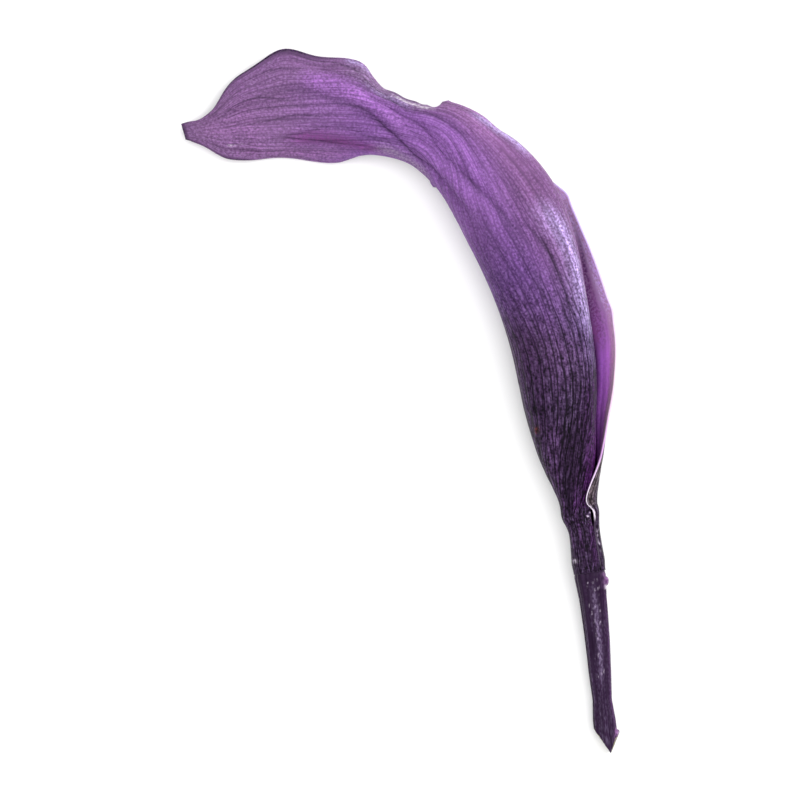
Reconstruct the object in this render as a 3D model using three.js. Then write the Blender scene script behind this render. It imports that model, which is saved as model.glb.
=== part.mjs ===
// A cut calla lily flower lying on its side, in millimetres. +Z is up, and the flower rests on z = 0.
// Seen from above, the stem runs down to the right and the tip of the spathe points left.
// It has three pieces: the stem, the spadix that stands on it, and the spathe that wraps both.
import * as THREE from "three";
import { mergeVertices } from "three/addons/utils/BufferGeometryUtils.js";

// Driving sizes
const BLADE = 0.7; // thickness of the spathe
const BLADE_ROWS = 72; // steps along the spathe
const BLADE_COLUMNS = 26; // steps across it, from its near edge to its far edge
const FLAT_TOP = 0.42; // how much fuller than an ellipse the wall that faces up is
const FLAT_BELLY = 0.25; // and the wall that faces down
const FOLD_EASE = 0.25; // share of a fold's length over which it comes up at each end
const STEM_SIDES = 20;
const STEM_STEPS = 3; // steps of the stem between two of its stations
const FLOWER_MIDDLE = [-0.2, 0.27]; // middle of the whole flower from above, which is set at the origin

// The spathe is one leaf rolled round the flower's own line. Each station is a section across that line:
// at      its middle, seen from above
// crest   height of the near wall above the table
// edges   angles of the near and far edges round the middle, from the outer side over the top
// reach   how far it goes to the outer side at its near edge, to the inner side at its back fold, and
//         to the outer side at its far edge
// walls   height of the near wall over the middle, depth of the far wall under it, and how far the far
//         edge stands off where it wraps over the near one
const STATIONS = [
  {
    name: "ring", at: [38.0, -34.5], crest: 8.0, edges: [48, 401],
    reach: [3.15, 3.15, 3.15], walls: [3.1, 3.1, 0],
  },
  {
    name: "collar", at: [36.8, -26.9], crest: 8.1, edges: [48, 400],
    reach: [2.95, 2.75, 2.95], walls: [2.9, 2.9, 0.2],
  },
  {
    name: "lip", at: [36.1, -23.1], crest: 8.4, edges: [48, 400],
    reach: [2.7, 3.4, 3.5], walls: [2.9, 3.1, 0.9],
  },
  {
    name: "throat", at: [35.4, -19.9], crest: 8.9, edges: [18, 421],
    reach: [2.75, 3.6, 3.8], walls: [3.2, 3.4, 1.1],
  },
  {
    name: "waist", at: [34.2, -11.9], crest: 10.8, edges: [-6, 376],
    reach: [4.6, 5.7, 6.15], walls: [4.9, 5.1, 1.1],
  },
  {
    name: "cup", at: [33.5, -3.9], crest: 12.3, edges: [-22, 358],
    reach: [5.4, 8.0, 8.1], walls: [6.1, 6.2, 1.1],
  },
  {
    name: "belly", at: [33.2, 4.1], crest: 13.5, edges: [-26, 353],
    reach: [5.8, 9.15, 9.6], walls: [6.8, 6.8, 1.1],
  },
  {
    name: "flank", at: [32.2, 12.1], crest: 14.0, edges: [-20, 350],
    reach: [6.0, 9.85, 10.6], walls: [7.0, 7.0, 1.1],
  },
  {
    name: "chest", at: [30.4, 20.1], crest: 14.3, edges: [-8, 347],
    reach: [6.6, 10.45, 10.7], walls: [7.0, 7.0, 1.1],
  },
  {
    name: "shoulder", at: [27.4, 29.1], crest: 14.6, edges: [2, 344],
    reach: [8.0, 11.05, 10.5], walls: [7.0, 6.8, 1.1],
  },
  {
    name: "bend", at: [22.8, 38.1], crest: 14.7, edges: [8, 331],
    reach: [9.4, 10.95, 11.0], walls: [6.8, 6.2, 1.1],
  },
  {
    name: "crook", at: [16.4, 45.7], crest: 14.3, edges: [8, 288],
    reach: [9.0, 9.35, 8.6], walls: [6.6, 5.2, 1.1],
  },
  {
    name: "nape", at: [8.2, 51.1], crest: 12.4, edges: [5, 198],
    reach: [8.7, 6.6, 7.0], walls: [6.0, 4.6, 1.1],
  },
  {
    name: "neck", at: [0.0, 54.3], crest: 9.2, edges: [0, 186],
    reach: [6.15, 5.6, 7.0], walls: [5.6, 4.0, 1.1],
  },
  {
    name: "limb", at: [-10.0, 57.7], crest: 6.2, edges: [22, 174],
    reach: [11.2, 9.9, 10.4], walls: [7.2, 4.0, 1.1],
  },
  {
    name: "blade", at: [-20.0, 58.9], crest: 5.05, edges: [35, 170],
    reach: [12.4, 10.6, 10.8], walls: [8.4, 4.0, 1.1],
  },
  {
    name: "taper", at: [-30.0, 58.1], crest: 4.6, edges: [40, 165],
    reach: [9.8, 10.6, 10.8], walls: [7.2, 4.0, 1.1],
  },
  {
    name: "tail", at: [-37.0, 55.7], crest: 3.4, edges: [45, 155],
    reach: [2.4, 8.5, 8.6], walls: [4.2, 4.0, 1.1],
  },
  {
    name: "tip", at: [-43.4, 53.9], crest: 2.2, edges: [45, 135],
    reach: [2.3, 2.1, 2.0], walls: [1.2, 1.2, 1.1],
  },
];

// Folds are ridges (height above 0) and valleys (below 0) that run along the blade. A place on it is a
// station, counted from 0, and how far across it lies, from 0 at the near edge to 1 at the far edge.
// width is the half width, across, and bow bends the middle of the fold across the blade.
const FOLDS = [
  { name: "crook valley", from: [12.7, 0.43], to: [8.8, 0.25], width: 0.045, height: -1.0, bow: 0.05 },
  { name: "crook ridge", from: [13.2, 0.3], to: [8.7, 0.38], width: 0.05, height: 0.8, bow: 0.1 },
  { name: "nape ridge", from: [12.4, 0.29], to: [9.8, 0.29], width: 0.04, height: 0.5, bow: 0.04 },
  { name: "edge crease", from: [9.7, 0.2], to: [7.3, 0.24], width: 0.03, height: -0.5, bow: 0 },
  { name: "edge ridge", from: [10.2, 0.15], to: [6.8, 0.1], width: 0.045, height: 0.5, bow: 0 },
  { name: "neck valley", from: [14.3, 0.38], to: [11.7, 0.82], width: 0.11, height: -0.9, bow: -0.05 },
  { name: "long valley", from: [17.3, 0.46], to: [13.4, 0.5], width: 0.06, height: -0.7, bow: -0.11 },
  { name: "lip valley", from: [15.1, 0.08], to: [12.6, 0.28], width: 0.04, height: -0.5, bow: 0.02 },
  { name: "hem valley", from: [17.2, 0.86], to: [13.4, 0.8], width: 0.07, height: -0.8, bow: 0.02 },
];

// Waves of the edges: how far each pushes its edge away from the middle and up, at which station, and how
// far that spreads along, in stations, and across. edge is 0 for the near edge and 1 for the far one.
const WAVES = [
  { name: "shoulder swell", edge: 0, station: 10.1, spread: [0.35, 0.12], out: 0.5, up: 0 },
  { name: "notch bump", edge: 0, station: 12.1, spread: [0.22, 0.12], out: 1.0, up: 0.2 },
  { name: "notch", edge: 0, station: 12.5, spread: [0.2, 0.15], out: -1.0, up: -0.5 },
  { name: "lip dent", edge: 0, station: 13.4, spread: [0.35, 0.25], out: -2.1, up: 0.3 },
  { name: "limb swell", edge: 0, station: 15.3, spread: [0.36, 0.2], out: 2.0, up: 0.5 },
  { name: "tab", edge: 1, station: 11.75, spread: [0.2, 0.08], out: 2.2, up: 0 },
  { name: "hem end", edge: 1, station: 13.5, spread: [0.3, 0.1], out: -0.8, up: 0.3 },
  { name: "hem", edge: 1, station: 15.3, spread: [1.5, 0.12], out: 0.3, up: 1.4 },
];

// The stem, from its cut end up. Above the shoulder it runs inside the spathe and carries the spadix.
const STEM = [
  { name: "cut", at: [41.4, -68.1, 2.2], radius: 2.2 },
  { name: "foot", at: [40.8, -64.3, 2.35], radius: 2.3 },
  { name: "ankle", at: [40.3, -60.3, 2.6], radius: 1.95 },
  { name: "shin", at: [39.8, -54.3, 3.1], radius: 2.3 },
  { name: "middle", at: [39.3, -46.9, 3.7], radius: 2.6 },
  { name: "top", at: [38.6, -39.9, 4.4], radius: 2.8 },
  { name: "shoulder", at: [38.08, -34.95, 4.86], radius: 3.1 },
  { name: "neck", at: [38.06, -34.85, 4.87], radius: 2.3 },
  { name: "collar", at: [36.95, -28.5, 5.2], radius: 2.05 },
  { name: "seat", at: [36.35, -25.2, 5.35], radius: 1.9 },
];

// The cut end is pared to a point. Across the end, from its left side at -1 to its right side at 1, each
// corner is a side and how far it lies beyond the middle of the cut.
const CUT_CORNERS = [
  { side: -1, beyond: -2.7 },
  { side: 0.35, beyond: 2.3 },
  { side: 1, beyond: -0.4 },
];

// The spadix, from its seat on the stem up to its rounded tip.
const SPADIX = [
  { name: "seat", at: [36.3, -24.9, 5.37], radius: 1.7 },
  { name: "base", at: [35.5, -19.9, 5.7], radius: 1.85 },
  { name: "waist", at: [34.2, -11.9, 6.0], radius: 2.15 },
  { name: "middle", at: [33.5, -2.9, 6.4], radius: 2.25 },
  { name: "chest", at: [33.0, 6.1, 6.8], radius: 2.1 },
  { name: "top", at: [32.4, 13.1, 7.0], radius: 1.6 },
  { name: "tip", at: [32.1, 15.6, 7.0], radius: 0.7 },
];
const FLORETS_AROUND = 6;
const FLORETS_ALONG = 14;
const FLORET_HEIGHT = 0.2;
const FLORET_SIDES = 4; // corners of the mesh round one floret
const FLORET_ROWS = 3; // and along it

const LAST = STATIONS.length - 1;
const track = (pick) => {
  const values = STATIONS.map((station) => new THREE.Vector3(...pick(station)));
  return new THREE.CatmullRomCurve3(values, false, "catmullrom", 0.5);
};
const MIDDLE = track((station) => [...station.at, station.crest]);
const REACH = track((station) => station.reach);
const WALLS = track((station) => station.walls);
const EDGES = track((station) => [...station.edges, 0]);

const { clamp, degToRad, lerp, mapLinear, smoothstep } = THREE.MathUtils;

const bell = (offset, spread) => Math.exp(-((offset / spread) ** 2));

// The rolled blade without its folds, at a station and a fraction across.
function rolled(station, across) {
  const t = clamp(station / LAST, 0, 1);
  const middle = MIDDLE.getPoint(t);
  const along = MIDDLE.getTangent(t).setZ(0).normalize();
  const reach = REACH.getPoint(t);
  const walls = WALLS.getPoint(t);
  const edges = EDGES.getPoint(t);
  const turn = lerp(edges.x, edges.y, across);
  const nearHalf = lerp(reach.x, reach.y, smoothstep(turn, 0, 180));
  const farHalf = lerp(reach.y, reach.z, smoothstep(turn, 180, 360));
  const lap = lerp(walls.y, walls.x + walls.z, smoothstep(turn, 270, 360));
  const facesUp = (turn > 0 && turn < 180) || turn > 360;
  const cos = Math.cos(degToRad(turn));
  const sin = Math.sin(degToRad(turn));
  let out = (turn < 180 ? nearHalf : farHalf) * cos;
  let up = (turn < 180 ? walls.x : lap) * sin * (1 + (facesUp ? FLAT_TOP : FLAT_BELLY) * cos * cos);
  for (const wave of WAVES) {
    const share = bell(station - wave.station, wave.spread[0]) * bell(across - wave.edge, wave.spread[1]);
    out += share * wave.out * Math.sign(cos);
    up += share * wave.up;
  }
  return new THREE.Vector3(middle.x + along.y * out, middle.y - along.x * out, middle.z - walls.x + up);
}

// How far the folds lift the blade at a station and a fraction across.
function foldHeight(station, across) {
  let height = 0;
  for (const { from, to, width, height: top, bow } of FOLDS) {
    const way = (station - from[0]) / (to[0] - from[0]);
    const inside = clamp(way, 0, 1);
    const line = lerp(from[1], to[1], inside) + bow * 4 * inside * (1 - inside);
    height += top * smoothstep(Math.min(way, 1 - way), 0, FOLD_EASE) * bell(across - line, width);
  }
  return height;
}

// The outward normal of the rolled blade, from two short steps over it.
function outward(station, across) {
  const step = 0.002; // both of a station and of the width
  const alongStep = rolled(station + step, across).sub(rolled(Math.max(station - step, 0), across));
  const acrossStep = rolled(station, across + step).sub(rolled(station, across - step));
  return alongStep.cross(acrossStep).normalize();
}

// A closed sheet over a grid. place(row, column) gives its outer and its inner point there. Both faces
// are split along the same diagonals, so that a waved sheet never cuts through itself.
function sheet(rows, columns, place) {
  const points = [];
  const faces = [];
  const size = (rows + 1) * (columns + 1);
  const outer = (row, column) => row * (columns + 1) + column;
  for (let row = 0; row <= rows; row += 1) {
    for (let column = 0; column <= columns; column += 1) {
      const [top, under] = place(row / rows, column / columns);
      points[outer(row, column)] = top;
      points[outer(row, column) + size] = under;
    }
  }
  for (let row = 0; row < rows; row += 1) {
    for (let column = 0; column < columns; column += 1) {
      const a = outer(row, column);
      const b = outer(row + 1, column);
      const c = outer(row + 1, column + 1);
      const d = outer(row, column + 1);
      faces.push(a, b, c, a, c, d, a + size, c + size, b + size, a + size, d + size, c + size);
    }
  }
  const rim = [];
  for (let row = 0; row < rows; row += 1) rim.push(outer(row, 0));
  for (let column = 0; column < columns; column += 1) rim.push(outer(rows, column));
  for (let row = rows; row > 0; row -= 1) rim.push(outer(row, columns));
  for (let column = columns; column > 0; column -= 1) rim.push(outer(0, column));
  rim.forEach((here, index) => {
    const next = rim[(index + 1) % rim.length];
    faces.push(next, here, here + size, next, here + size, next + size);
  });
  const geometry = new THREE.BufferGeometry().setFromPoints(points);
  geometry.setIndex(faces);
  return geometry;
}

// The spathe lies flat where it meets the table, at z = 0.
function spatheGeometry() {
  return sheet(BLADE_ROWS, BLADE_COLUMNS, (rowShare, across) => {
    const station = rowShare * LAST;
    const normal = outward(station, across);
    const middle = rolled(station, across).addScaledVector(normal, foldHeight(station, across));
    const top = middle.clone().addScaledVector(normal, BLADE / 2);
    const under = middle.clone().addScaledVector(normal, -BLADE / 2);
    const lift = Math.max(0, -top.z, -under.z);
    top.z += lift;
    under.z += lift;
    return [top, under];
  });
}

// A closed rod along its stations, of the radius they give, with upright sections. swell(share, angle) adds
// to the radius, and cut(side) moves the first end out along the rod, with side from -1 to 1 across it.
function rod(stations, sides, rows, { swell = () => 0, cut = () => 0 }) {
  const middle = new THREE.CatmullRomCurve3(stations.map(({ at }) => new THREE.Vector3(...at)));
  const cylinder = new THREE.CylinderGeometry(1, 1, 1, sides, rows);
  cylinder.deleteAttribute("normal");
  cylinder.deleteAttribute("uv");
  const geometry = mergeVertices(cylinder);
  const spots = geometry.attributes.position;
  for (let index = 0; index < spots.count; index += 1) {
    const x = spots.getX(index);
    const z = spots.getZ(index);
    const share = spots.getY(index) + 0.5;
    const place = share * (stations.length - 1);
    const below = Math.min(Math.floor(place), stations.length - 2);
    const radius = lerp(stations[below].radius, stations[below + 1].radius, place - below);
    const size = radius + swell(share, Math.atan2(z, x));
    const along = middle.getTangent(share).setZ(0).normalize();
    const side = new THREE.Vector3(along.y, -along.x, 0);
    const spot = middle.getPoint(share).addScaledVector(side, x * size);
    spot.addScaledVector(along, -cut(x) * Math.max(0, 1 - place));
    spot.z += z * size;
    spots.setXYZ(index, spot.x, spot.y, spot.z);
  }
  return geometry;
}

function stemGeometry() {
  const [left, point, right] = CUT_CORNERS;
  const cut = (side) =>
    side < point.side
      ? mapLinear(side, left.side, point.side, left.beyond, point.beyond)
      : mapLinear(side, point.side, right.side, point.beyond, right.beyond);
  return rod(STEM, STEM_SIDES, STEM_STEPS * (STEM.length - 1), { cut });
}

// The florets stand in rings round the spadix, each ring turned half a floret from the last.
function spadixGeometry() {
  const swell = (share, angle) => {
    const ring = share * FLORETS_ALONG;
    const turned = (Math.floor(ring) % 2) * Math.PI;
    const around = 0.5 + 0.5 * Math.cos(FLORETS_AROUND * angle + turned);
    return FLORET_HEIGHT * Math.abs(Math.sin(ring * Math.PI)) * around;
  };
  return rod(SPADIX, FLORET_SIDES * FLORETS_AROUND, FLORET_ROWS * FLORETS_ALONG, { swell });
}

function piece(name, geometry, color, roughness) {
  geometry.computeVertexNormals();
  const material = new THREE.MeshStandardMaterial({ color, roughness, metalness: 0, side: THREE.DoubleSide });
  const mesh = new THREE.Mesh(geometry, material);
  mesh.name = name;
  return mesh;
}

const flower = new THREE.Group();
flower.position.set(-FLOWER_MIDDLE[0], -FLOWER_MIDDLE[1], 0);
flower.add(piece("stem", stemGeometry(), 0x43324d, 0.45));
flower.add(piece("spadix", spadixGeometry(), 0xc9a03c, 0.7));
flower.add(piece("spathe", spatheGeometry(), 0x7d5590, 0.55));

export default flower;
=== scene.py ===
"""A cut calla lily flower that lies on its side on a pale studio floor.

The flower has three pieces: the stem, the spadix that stands on it, and the spathe, one leaf that is
rolled round both and bent over into a limb with a tail. The sections that shape them are in millimetres,
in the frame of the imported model, and become metres where the meshes are placed.
"""

import bmesh
import bpy
import numpy as np
from bpy.props import FloatProperty, FloatVectorProperty, IntProperty, PointerProperty
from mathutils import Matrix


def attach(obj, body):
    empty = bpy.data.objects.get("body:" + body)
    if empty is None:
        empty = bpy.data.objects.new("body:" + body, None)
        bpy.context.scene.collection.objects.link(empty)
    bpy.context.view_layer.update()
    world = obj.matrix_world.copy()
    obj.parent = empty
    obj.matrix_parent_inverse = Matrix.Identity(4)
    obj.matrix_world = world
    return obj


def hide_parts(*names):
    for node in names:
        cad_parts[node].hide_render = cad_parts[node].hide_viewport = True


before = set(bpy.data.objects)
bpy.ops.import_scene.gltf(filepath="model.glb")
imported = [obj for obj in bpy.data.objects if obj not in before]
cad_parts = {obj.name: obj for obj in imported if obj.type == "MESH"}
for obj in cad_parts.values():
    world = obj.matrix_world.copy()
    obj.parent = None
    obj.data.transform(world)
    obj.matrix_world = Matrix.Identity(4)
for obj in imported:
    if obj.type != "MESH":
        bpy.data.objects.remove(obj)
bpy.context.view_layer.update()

bl_info = {
    "name": "Calla Lily Flower",
    "version": (1, 0, 0),
    "blender": (4, 5, 0),
    "location": "View3D > Sidebar > Calla",
    "description": "Builds a cut calla lily flower and its studio stage",
    "category": "Object",
}

MM = 0.001  # in metres
FLOWER_MIDDLE = (-0.2, 0.27)  # middle of the flower from above, which is set at the origin, mm


# The form of the spathe

# Each station is a section across the flower's own line, seen from above: the middle of the section, the
# height of the near wall, the angles of the near and far edges round the middle, the reach to the near
# edge, to the back fold and to the far edge, and the rise of the near wall, the depth of the far wall
# and how far the far edge stands off where it wraps over the near one.
STATIONS = {
    "ring": ((38.0, -34.5), 8.0, (48, 401), (3.15, 3.15, 3.15), (3.1, 3.1, 0)),
    "collar": ((36.8, -26.9), 8.1, (48, 400), (2.95, 2.75, 2.95), (2.9, 2.9, 0.2)),
    "lip": ((36.1, -23.1), 8.4, (48, 400), (2.7, 3.4, 3.5), (2.9, 3.1, 0.9)),
    "throat": ((35.4, -19.9), 8.9, (18, 421), (2.75, 3.6, 3.8), (3.2, 3.4, 1.1)),
    "waist": ((34.2, -11.9), 10.8, (-6, 376), (4.6, 5.7, 6.15), (4.9, 5.1, 1.1)),
    "cup": ((33.5, -3.9), 12.3, (-22, 358), (5.4, 8.0, 8.1), (6.1, 6.2, 1.1)),
    "belly": ((33.2, 4.1), 13.5, (-26, 353), (5.8, 9.15, 9.6), (6.8, 6.8, 1.1)),
    "flank": ((32.2, 12.1), 14.0, (-20, 350), (6.0, 9.85, 10.6), (7.0, 7.0, 1.1)),
    "chest": ((30.4, 20.1), 14.3, (-8, 347), (6.6, 10.45, 10.7), (7.0, 7.0, 1.1)),
    "shoulder": ((27.4, 29.1), 14.6, (2, 344), (8.0, 11.05, 10.5), (7.0, 6.8, 1.1)),
    "bend": ((22.8, 38.1), 14.7, (8, 331), (9.4, 10.95, 11.0), (6.8, 6.2, 1.1)),
    "crook": ((16.4, 45.7), 14.3, (8, 288), (9.0, 9.35, 8.6), (6.6, 5.2, 1.1)),
    "nape": ((8.2, 51.1), 12.4, (5, 198), (8.7, 6.6, 7.0), (6.0, 4.6, 1.1)),
    "neck": ((0.0, 54.3), 9.2, (0, 186), (6.15, 5.6, 7.0), (5.6, 4.0, 1.1)),
    "limb": ((-10.0, 57.7), 6.2, (22, 174), (11.2, 9.9, 10.4), (7.2, 4.0, 1.1)),
    "blade": ((-20.0, 58.9), 5.05, (35, 170), (12.4, 10.6, 10.8), (8.4, 4.0, 1.1)),
    "taper": ((-30.0, 58.1), 4.6, (40, 165), (9.8, 10.6, 10.8), (7.2, 4.0, 1.1)),
    "tail": ((-37.0, 55.7), 3.4, (45, 155), (2.4, 8.5, 8.6), (4.2, 4.0, 1.1)),
    "tip": ((-43.4, 53.9), 2.2, (45, 135), (2.3, 2.1, 2.0), (1.2, 1.2, 1.1)),
}
FLAT_TOP = 0.42  # how much fuller than an ellipse the wall that faces up is
FLAT_BELLY = 0.25  # and the wall that faces down
PUSH_EASE = 0.03  # how softly a wave's push turns round at the top and the bottom of the tube
LAST = len(STATIONS) - 1
SHORT_STEP = 0.002  # step along or across that the blade's slopes are measured over
WAY_STEP = 0.01  # and that a rod's are measured over, mm

# Waves of the blade: the share across, which is 0 at the near edge and 1 at the far one, the station, how
# far the wave spreads along and across, and how far it pushes the blade away from the middle and up.
WAVES = {
    "shoulder dent": (0, 11.25, 0.22, 0.12, -0.5, 0),
    "shoulder flat": (0, 10.05, 0.3, 0.12, -0.1, 0),
    "notch corner": (0, 12.29, 0.08, 0.1, 0.7, 0.2),
    "notch": (0, 12.44, 0.1, 0.1, -4.6, -0.4),
    "notch slope": (0, 12.68, 0.14, 0.12, -0.8, -0.1),
    "lip dent": (0, 13.6, 0.24, 0.25, -2.3, 0.3),
    "lip slope": (0, 13.2, 0.22, 0.2, -0.6, 0),
    "lip end": (0, 13.82, 0.12, 0.15, -0.6, 0),
    "limb dent": (0, 14.6, 0.35, 0.15, -0.5, 0),
    "limb swell": (0, 15.3, 0.36, 0.2, 2.0, 0.5),
    "near tail": (0, 17.45, 0.35, 0.3, -0.5, 0),
    "far tail": (1, 17.45, 0.35, 0.3, -0.5, 0),
    "tab": (1, 11.66, 0.15, 0.08, 2.1, 0),
    "hem end": (1, 13.5, 0.3, 0.1, -0.8, 0.3),
    "hem": (1, 15.3, 1.5, 0.12, 0.3, 1.4),
    "hem dent": (1, 15.6, 0.7, 0.12, -1.1, 0),
    "strip shoulder": (1, 9.75, 0.14, 0.06, 0.5, 0),
    "flare": (1, 7.0, 2.6, 0.06, 0.2, -1.3),
    "strip swell": (1, 6.9, 1.1, 0.06, 0.35, 0),
    "strip corner": (1, 7.45, 0.2, 0.05, 0.3, 0),
    "cup side": (0.47, 4.95, 0.5, 0.12, -0.5, 0),
    "waist side": (0.47, 3.1, 0.6, 0.15, -0.45, 0),
    "collar side": (0.45, 1.2, 0.8, 0.15, -0.3, 0),
}

# Folds run along the blade through places given by station and share across. Each has its half width
# across, its height in millimetres, and how much it darkens or lightens the skin, which is painted shade
# in its valley and painted light on its ridge.
FOLD_EASE = 0.25  # share of its length over which a fold or a mark comes up at each end
FOLDS = {
    "long arc": (((8.6, 0.41), (9.3, 0.41), (10.4, 0.43), (11.3, 0.52), (11.9, 0.66), (12.5, 0.71),
                  (13.0, 0.6), (13.5, 0.48), (14.2, 0.385), (14.9, 0.305), (15.5, 0.285), (16.8, 0.34)),
                 0.035, -0.5, -0.29),
    "neck ridge": (((9.4, 0.3), (10.0, 0.32), (10.4, 0.35), (11.0, 0.43), (11.7, 0.55), (12.3, 0.59),
                    (13.0, 0.49), (13.4, 0.39), (14.0, 0.3), (14.4, 0.235), (15.2, 0.16)), 0.04, 0.5, 0.18),
    "crook valley": (((9.2, 0.28), (9.7, 0.295), (10.2, 0.315), (10.8, 0.35), (11.4, 0.42), (12.0, 0.485),
                      (12.7, 0.38), (13.3, 0.335), (13.85, 0.27), (14.6, 0.18)), 0.025, -0.4, -0.22),
    "crook ridge": (((9.7, 0.27), (10.9, 0.3), (11.4, 0.32), (11.9, 0.38), (12.5, 0.33), (13.2, 0.25)),
                    0.045, 0.5, 0.06),
    "grey border": (((9.4, 0.24), (11.0, 0.24), (11.5, 0.235), (12.0, 0.3), (12.5, 0.26)),
                    0.02, -0.2, -0.15),
    "flank line": (((7.2, 0.24), (7.7, 0.227), (8.4, 0.217), (9.1, 0.217), (9.6, 0.235)),
                   0.01, -0.3, -0.6),
    "shoulder line": (((8.7, 0.266), (9.1, 0.266), (10.1, 0.266), (10.6, 0.268), (11.2, 0.24)),
                      0.008, -0.2, -0.3),
    "flank ridge": (((6.8, 0.17), (7.4, 0.162), (7.95, 0.15), (8.7, 0.13), (9.2, 0.128), (9.6, 0.15),
                     (10.2, 0.16)), 0.04, 0.4, 0.1),
    "lip valley": (((12.6, 0.28), (13.85, 0.2), (15.1, 0.08)), 0.04, -0.5, -0.1),
    "magenta valley": (((13.1, 0.7), (13.6, 0.62), (14.0, 0.575), (14.5, 0.575), (14.9, 0.617),
                        (15.8, 0.69)), 0.03, -0.4, -0.18),
    "hem valley": (((13.2, 0.76), (14.2, 0.8), (15.3, 0.84), (17.2, 0.86)), 0.07, -0.7, 0),
}

# Creases are finer folds, and ribs are finer still. Their last value paints shade and light as a fold's
# does.
RIBS = 26  # low ribs side by side across the blade
RIB_HEIGHT = 0.05  # in millimetres
RIB_START = 1.5  # station at which the ribs have come up to their height
CREASES = {
    "arc line": (((11.6, 0.63), (12.3, 0.72), (12.5, 0.73), (12.9, 0.6), (13.3, 0.505), (13.6, 0.43),
                  (14.2, 0.36)), 0.016, -0.2, -0.45),
    "left streak": (((15.0, 0.38), (15.3, 0.355), (15.8, 0.31), (16.35, 0.303), (17.0, 0.36)),
                    0.01, -0.1, -0.45),
    "upper streak": (((14.7, 0.14), (15.26, 0.15), (15.66, 0.12), (16.5, 0.12)), 0.01, -0.1, -0.4),
    "middle streak": (((14.4, 0.52), (14.6, 0.5), (15.0, 0.47), (15.5, 0.498), (16.5, 0.55)),
                      0.01, -0.1, -0.4),
    "lip line": (((12.7, 0.33), (13.0, 0.3), (13.5, 0.17), (13.9, 0.15), (14.1, 0.113), (14.46, 0.064),
                  (15.0, 0.046), (15.8, 0.03)), 0.012, -0.15, -0.45),
    "flap crease": (((12.9, 0.79), (13.4, 0.75), (13.7, 0.725), (14.45, 0.692), (15.0, 0.68), (15.8, 0.65)),
                    0.014, -0.3, -0.6),
    "hem crease": (((15.6, 0.68), (16.5, 0.74), (17.3, 0.77), (17.9, 0.88)), 0.012, -0.15, -0.35),
    "sliver crease": (((12.1, 0.27), (12.8, 0.25), (13.5, 0.22)), 0.014, -0.2, -0.4),
    "crook line": (((9.0, 0.27), (9.8, 0.29), (10.6, 0.33), (11.4, 0.4), (12.1, 0.45)), 0.01, -0.1, -0.25),
    "belly groove": (((0.0, 0.11), (1.2, 0.06), (2.5, 0.1), (3.3, 0.15), (4.8, 0.22)), 0.018, -0.2, -0.7),
    "collar groove": (((0.0, 0.18), (0.6, 0.2), (1.3, 0.227), (2.9, 0.262), (4.4, 0.3)), 0.014, -0.2, -0.6),
    "collar slit": (((0.0, 0.995), (0.6, 0.99), (1.5, 0.985)), 0.012, -0.2, -0.6),
    "belly ridge": (((0.0, 0.155), (0.7, 0.165), (1.4, 0.16), (2.8, 0.19), (3.6, 0.22)), 0.014, 0.12, 1.1),
    "collar ridge": (((0.0, 0.235), (0.9, 0.27), (1.6, 0.29), (2.9, 0.31), (4.0, 0.34)), 0.012, 0.12, 0.9),
    "edge line": (((8.2, 0.235), (8.9, 0.225), (9.9, 0.25)), 0.006, -0.1, -0.45),
    "first bend line": (((5.4, 0.37), (6.6, 0.385), (7.6, 0.377), (8.9, 0.39)), 0.005, -0.1, -0.5),
    "second bend line": (((5.0, 0.3), (6.2, 0.29), (7.6, 0.296), (8.8, 0.31)), 0.005, -0.1, -0.5),
    "third bend line": (((5.8, 0.2), (6.9, 0.215), (7.6, 0.21), (8.4, 0.225)), 0.005, -0.1, -0.5),
}

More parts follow.
